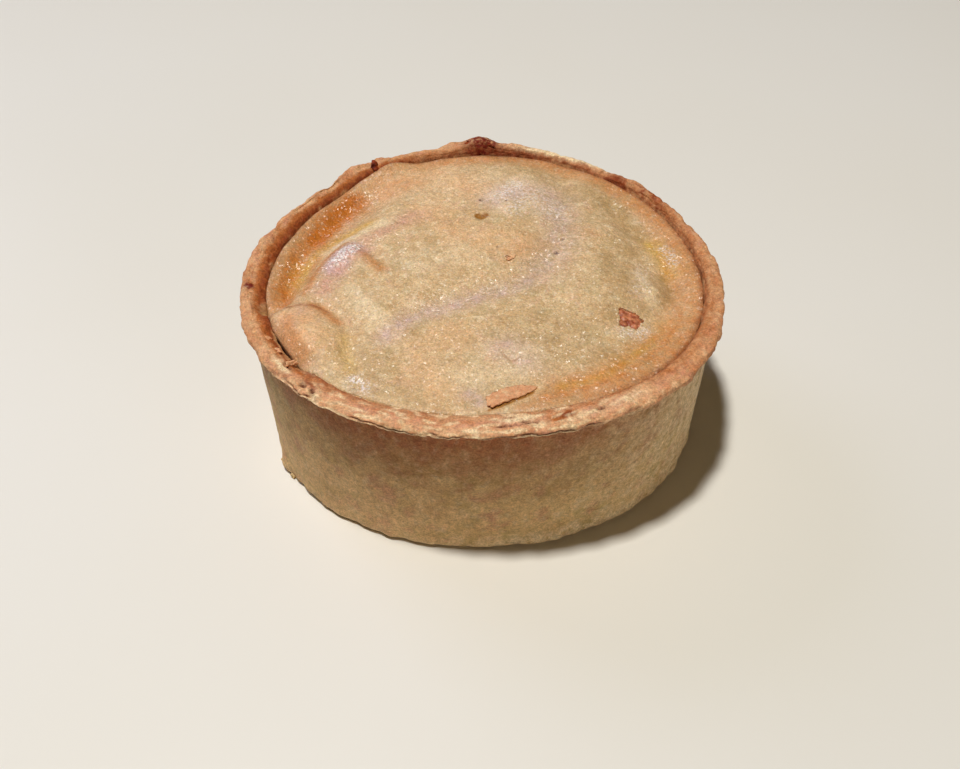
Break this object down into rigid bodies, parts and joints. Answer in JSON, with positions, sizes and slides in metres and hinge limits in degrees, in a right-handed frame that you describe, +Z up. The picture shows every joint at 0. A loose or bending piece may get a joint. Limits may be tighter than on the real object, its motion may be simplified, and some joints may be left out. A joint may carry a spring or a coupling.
{
  "type": "scotch pie",
  "caption": "Round raised pie with a straight-walled pastry case, a lipped rim and an uneven, greasy lid sunk inside it, with a small tear that shows the meat.",
  "frame": {"origin": "middle of the flat foot, on the surface the pie stands on", "axes": "+Z up through the lid, -Y towards the side with the raised flake of pastry, +X towards the side with the tear"},
  "size_m": [0.0979, 0.0971, 0.0373],
  "materials": {
    "case_pastry": "matte baked pastry, browned at the rim",
    "lid_pastry": "pale baked pastry with a thin film of fat",
    "minced_meat": "moist cooked mince"
  },
  "bodies": {
    "root": {"pastry_case": "case_pastry", "pastry_lid": "lid_pastry", "meat_filling": "minced_meat"}
  },
  "joints": []
}
